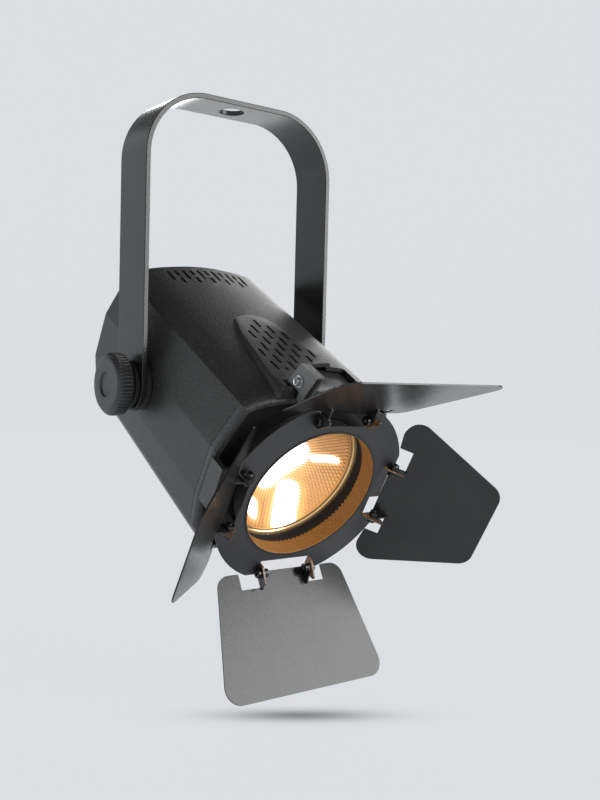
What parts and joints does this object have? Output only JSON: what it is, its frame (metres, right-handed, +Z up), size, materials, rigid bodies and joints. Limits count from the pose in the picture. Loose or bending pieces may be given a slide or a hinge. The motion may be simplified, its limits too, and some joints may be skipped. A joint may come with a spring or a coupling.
{
  "type": "par can light",
  "caption": "Small LED stage light on a bent flat-bar yoke, with tilt knobs, a vented housing and a rotating ring of hinged barn-door leaves.",
  "frame": {"origin": "centre of the hanging hole on the yoke's top face", "axes": "+Z up; +X along the tilt axis; the light's front faces -Y, tilted down"},
  "size_m": [0.1985, 0.2673, 0.3301],
  "materials": {
    "black_powder_coat": "fine-textured black powder coat",
    "black_sheet_metal": "satin black paint on sheet steel",
    "knob_plastic": "satin moulded plastic",
    "washer_rubber": "matte",
    "zinc_steel": "zinc plated",
    "black_screw_steel": "blackened",
    "reflector_metal": "bright facetted reflector lit amber by the lamp",
    "heat_sink_aluminium": "extruded",
    "clear_glass": "clear",
    "led_phosphor": "emissive, lit amber",
    "board_green": "solder mask",
    "board_white": "white coated circuit board",
    "socket_plastic": "moulded plastic",
    "button_rubber": "silicone",
    "display_screen": "dark window"
  },
  "bodies": {
    "yoke": {"yoke": "black_powder_coat"},
    "washer_left": {"tilt_washer_left": "washer_rubber"},
    "washer_right": {"tilt_washer_right": "washer_rubber"},
    "knob_left": {"tilt_knob_left": "knob_plastic"},
    "knob_right": {"tilt_knob_right": "knob_plastic"},
    "fan_rotor": {"fan_rotor": "socket_plastic"},
    "latch": {"retaining_latch": "black_sheet_metal"},
    "button_menu": {"button_menu": "button_rubber"},
    "button_down": {"button_down": "button_rubber"},
    "button_up": {"button_up": "button_rubber"},
    "button_enter": {"button_enter": "button_rubber"},
    "barn_ring": {"barn_door_ring": "black_sheet_metal", "hinge_screw_bottom_a": "black_screw_steel", "hinge_screw_bottom_b": "black_screw_steel", "hinge_screw_right_a": "black_screw_steel", "hinge_screw_right_b": "black_screw_steel", "hinge_screw_top_a": "black_screw_steel", "hinge_screw_top_b": "black_screw_steel", "hinge_screw_left_a": "black_screw_steel", "hinge_screw_left_b": "black_screw_steel"},
    "leaf_bottom": {"leaf_bottom": "black_sheet_metal"},
    "leaf_right": {"leaf_right": "black_sheet_metal"},
    "leaf_top": {"leaf_top": "black_sheet_metal"},
    "leaf_left": {"leaf_left": "black_sheet_metal"},
    "housing": {"accessory_frame": "black_sheet_metal", "data_in_socket": "socket_plastic", "data_out_socket": "socket_plastic", "display_window": "display_screen", "driver_board": "board_green", "driver_bracket": "black_sheet_metal", "fan_frame": "socket_plastic", "friction_disc_left": "washer_rubber", "friction_disc_right": "washer_rubber", "front_baffle": "black_sheet_metal", "front_bezel": "black_powder_coat", "front_glass": "clear_glass", "heat_sink": "heat_sink_aluminium", "housing_shell": "black_powder_coat", "latch_screw": "zinc_steel", "led_board": "board_white", "led_emitter": "led_phosphor", "power_inlet": "socket_plastic", "rear_panel": "black_sheet_metal", "reflector": "reflector_metal", "reflector_ring": "reflector_metal", "safety_loop": "zinc_steel", "slot_lid": "black_sheet_metal", "tilt_stud_left": "zinc_steel", "tilt_stud_right": "zinc_steel"}
  },
  "joints": [
    {"name": "washer_slide_left", "type": "slide", "parent": "yoke", "child": "washer_left", "axis": [-1, 0, 0], "range_m": [0, 0.0025]},
    {"name": "knob_turn_left", "type": "hinge", "parent": "washer_left", "child": "knob_left", "pos_m": [-0.074, 0, -0.168], "axis": [-1, 0, 0], "range_deg": [0, 720]},
    {"name": "washer_slide_right", "type": "slide", "parent": "yoke", "child": "washer_right", "axis": [1, 0, 0], "range_m": [0, 0.0025]},
    {"name": "knob_turn_right", "type": "hinge", "parent": "washer_right", "child": "knob_right", "pos_m": [0.074, 0, -0.168], "axis": [1, 0, 0], "range_deg": [0, 720]},
    {"name": "housing_tilt", "type": "hinge", "parent": "yoke", "child": "housing", "pos_m": [0, 0, -0.168], "axis": [1, 0, 0], "range_deg": [-60, 75]},
    {"name": "fan_spin", "type": "hinge", "parent": "housing", "child": "fan_rotor", "pos_m": [0, -0.00035, -0.17562], "axis": [0, -0.8746, -0.4848], "continuous": true},
    {"name": "latch_pivot", "type": "hinge", "parent": "housing", "child": "latch", "pos_m": [-0.01725, -0.10143, -0.16282], "axis": [1, 0, 0], "range_deg": [-35, 0]},
    {"name": "press_menu", "type": "slide", "parent": "housing", "child": "button_menu", "axis": [0, -0.8746, -0.4848], "range_m": [0, 0.0008], "stiffness_N_per_m": 400},
    {"name": "press_down", "type": "slide", "parent": "housing", "child": "button_down", "axis": [0, -0.8746, -0.4848], "range_m": [0, 0.0008], "stiffness_N_per_m": 400},
    {"name": "press_up", "type": "slide", "parent": "housing", "child": "button_up", "axis": [0, -0.8746, -0.4848], "range_m": [0, 0.0008], "stiffness_N_per_m": 400},
    {"name": "press_enter", "type": "slide", "parent": "housing", "child": "button_enter", "axis": [0, -0.8746, -0.4848], "range_m": [0, 0.0008], "stiffness_N_per_m": 400},
    {"name": "ring_turn", "type": "hinge", "parent": "housing", "child": "barn_ring", "pos_m": [0, -0.08169, -0.22071], "axis": [0, -0.8746, -0.4848], "range_deg": [-90, 90]},
    {"name": "swing_bottom", "type": "hinge", "parent": "barn_ring", "child": "leaf_bottom", "pos_m": [-0.00069, -0.06704, -0.26941], "axis": [0.9999, 0.0068, -0.0122], "range_deg": [-77.9, 25.1]},
    {"name": "swing_right", "type": "hinge", "parent": "barn_ring", "child": "leaf_right", "pos_m": [0.0497, -0.0908, -0.22655], "axis": [0.014, -0.4848, 0.8745], "range_deg": [-41.4, 11.6]},
    {"name": "swing_top", "type": "hinge", "parent": "barn_ring", "child": "leaf_top", "pos_m": [0.00069, -0.11523, -0.18248], "axis": [-0.9999, -0.0068, 0.0122], "range_deg": [-88.6, 14.4]},
    {"name": "swing_left", "type": "hinge", "parent": "barn_ring", "child": "leaf_left", "pos_m": [-0.0497, -0.09147, -0.22534], "axis": [-0.014, 0.4848, -0.8745], "range_deg": [-43.1, 9.9]}
  ],
  "couplings": [
    {"joint": "washer_slide_left", "follows": "knob_turn_left", "m_per_rad": 0.0001989},
    {"joint": "washer_slide_right", "follows": "knob_turn_right", "m_per_rad": 0.0001989}
  ]
}
